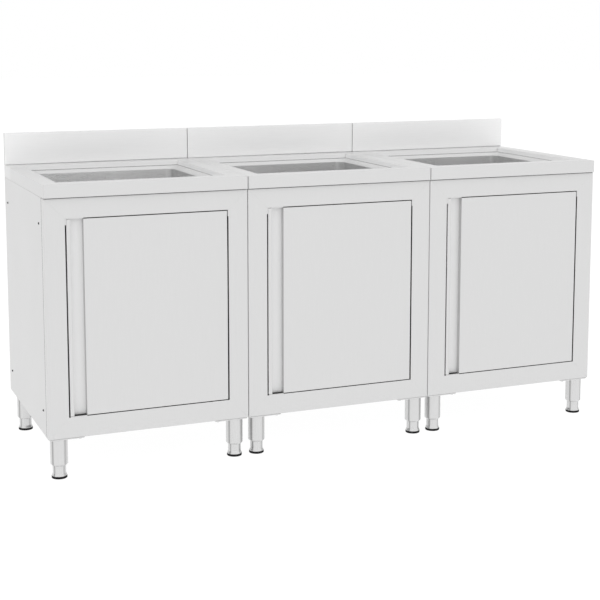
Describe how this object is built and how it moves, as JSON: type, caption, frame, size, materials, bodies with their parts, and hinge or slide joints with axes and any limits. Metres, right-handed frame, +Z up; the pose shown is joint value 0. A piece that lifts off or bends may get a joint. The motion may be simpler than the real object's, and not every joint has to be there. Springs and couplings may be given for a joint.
{
  "type": "three compartment sink",
  "caption": "Row of stainless steel sink cabinets with welded-in bowls, upstand, hinged doors with finger-grip channels and adjustable legs.",
  "frame": {"origin": "on the floor, below the middle of the row and midway between the front and the back", "axes": "+X along the row to the right as seen from the front, +Y to the back, +Z up"},
  "size_m": [1.799, 0.6, 0.945],
  "materials": {
    "outer_steel": "satin brushed",
    "bowl_steel": "satin",
    "inner_steel": "mill finish",
    "leg_steel": "satin brushed",
    "bright_steel": "polished",
    "foot_rubber": "matt black"
  },
  "bodies": {
    "root": {"left_worktop": "outer_steel", "left_bowl": "bowl_steel", "left_drain_strainer": "bright_steel", "left_waste_outlet": "bright_steel", "left_face_frame": "outer_steel", "left_side_panel_left": "outer_steel", "left_side_panel_right": "outer_steel", "left_back_panel": "inner_steel", "left_bottom_shelf": "inner_steel", "left_leg_front_left": "leg_steel", "left_leg_front_right": "leg_steel", "left_leg_rear_left": "leg_steel", "left_leg_rear_right": "leg_steel", "middle_worktop": "outer_steel", "middle_bowl": "bowl_steel", "middle_drain_strainer": "bright_steel", "middle_waste_outlet": "bright_steel", "middle_face_frame": "outer_steel", "middle_side_panel_left": "outer_steel", "middle_side_panel_right": "outer_steel", "middle_back_panel": "inner_steel", "middle_bottom_shelf": "inner_steel", "middle_leg_front_left": "leg_steel", "middle_leg_front_right": "leg_steel", "middle_leg_rear_left": "leg_steel", "middle_leg_rear_right": "leg_steel", "right_worktop": "outer_steel", "right_bowl": "bowl_steel", "right_drain_strainer": "bright_steel", "right_waste_outlet": "bright_steel", "right_face_frame": "outer_steel", "right_side_panel_left": "outer_steel", "right_side_panel_right": "outer_steel", "right_back_panel": "inner_steel", "right_bottom_shelf": "inner_steel", "right_leg_front_left": "leg_steel", "right_leg_front_right": "leg_steel", "right_leg_rear_left": "leg_steel", "right_leg_rear_right": "leg_steel"},
    "left_door": {"left_door_skin": "outer_steel", "left_door_liner": "inner_steel", "left_hinge_rod": "bright_steel"},
    "left_adjuster_front_left": {"left_foot_front_left": "leg_steel"},
    "left_adjuster_front_right": {"left_foot_front_right": "leg_steel"},
    "left_adjuster_rear_left": {"left_foot_rear_left": "leg_steel"},
    "left_adjuster_rear_right": {"left_foot_rear_right": "leg_steel"},
    "middle_door": {"middle_door_skin": "outer_steel", "middle_door_liner": "inner_steel", "middle_hinge_rod": "bright_steel"},
    "middle_adjuster_front_left": {"middle_foot_front_left": "leg_steel"},
    "middle_adjuster_front_right": {"middle_foot_front_right": "leg_steel"},
    "middle_adjuster_rear_left": {"middle_foot_rear_left": "leg_steel"},
    "middle_adjuster_rear_right": {"middle_foot_rear_right": "leg_steel"},
    "right_door": {"right_door_skin": "outer_steel", "right_door_liner": "inner_steel", "right_hinge_rod": "bright_steel"},
    "right_adjuster_front_left": {"right_foot_front_left": "leg_steel"},
    "right_adjuster_front_right": {"right_foot_front_right": "leg_steel"},
    "right_adjuster_rear_left": {"right_foot_rear_left": "leg_steel"},
    "right_adjuster_rear_right": {"right_foot_rear_right": "leg_steel"}
  },
  "joints": [
    {"name": "door_left", "type": "hinge", "parent": "root", "child": "left_door", "pos_m": [-0.3715, -0.2867, 0.464], "axis": [0, 0, 1], "range_deg": [0, 105]},
    {"name": "foot_left_front_left", "type": "slide", "parent": "root", "child": "left_adjuster_front_left", "axis": [0, 0, -1], "range_m": [0, 0.025]},
    {"name": "foot_left_front_right", "type": "slide", "parent": "root", "child": "left_adjuster_front_right", "axis": [0, 0, -1], "range_m": [0, 0.025]},
    {"name": "foot_left_rear_left", "type": "slide", "parent": "root", "child": "left_adjuster_rear_left", "axis": [0, 0, -1], "range_m": [0, 0.025]},
    {"name": "foot_left_rear_right", "type": "slide", "parent": "root", "child": "left_adjuster_rear_right", "axis": [0, 0, -1], "range_m": [0, 0.025]},
    {"name": "door_middle", "type": "hinge", "parent": "root", "child": "middle_door", "pos_m": [0.2285, -0.2867, 0.464], "axis": [0, 0, 1], "range_deg": [0, 105]},
    {"name": "foot_middle_front_left", "type": "slide", "parent": "root", "child": "middle_adjuster_front_left", "axis": [0, 0, -1], "range_m": [0, 0.025]},
    {"name": "foot_middle_front_right", "type": "slide", "parent": "root", "child": "middle_adjuster_front_right", "axis": [0, 0, -1], "range_m": [0, 0.025]},
    {"name": "foot_middle_rear_left", "type": "slide", "parent": "root", "child": "middle_adjuster_rear_left", "axis": [0, 0, -1], "range_m": [0, 0.025]},
    {"name": "foot_middle_rear_right", "type": "slide", "parent": "root", "child": "middle_adjuster_rear_right", "axis": [0, 0, -1], "range_m": [0, 0.025]},
    {"name": "door_right", "type": "hinge", "parent": "root", "child": "right_door", "pos_m": [0.8285, -0.2867, 0.464], "axis": [0, 0, 1], "range_deg": [0, 105]},
    {"name": "foot_right_front_left", "type": "slide", "parent": "root", "child": "right_adjuster_front_left", "axis": [0, 0, -1], "range_m": [0, 0.025]},
    {"name": "foot_right_front_right", "type": "slide", "parent": "root", "child": "right_adjuster_front_right", "axis": [0, 0, -1], "range_m": [0, 0.025]},
    {"name": "foot_right_rear_left", "type": "slide", "parent": "root", "child": "right_adjuster_rear_left", "axis": [0, 0, -1], "range_m": [0, 0.025]},
    {"name": "foot_right_rear_right", "type": "slide", "parent": "root", "child": "right_adjuster_rear_right", "axis": [0, 0, -1], "range_m": [0, 0.025]}
  ]
}
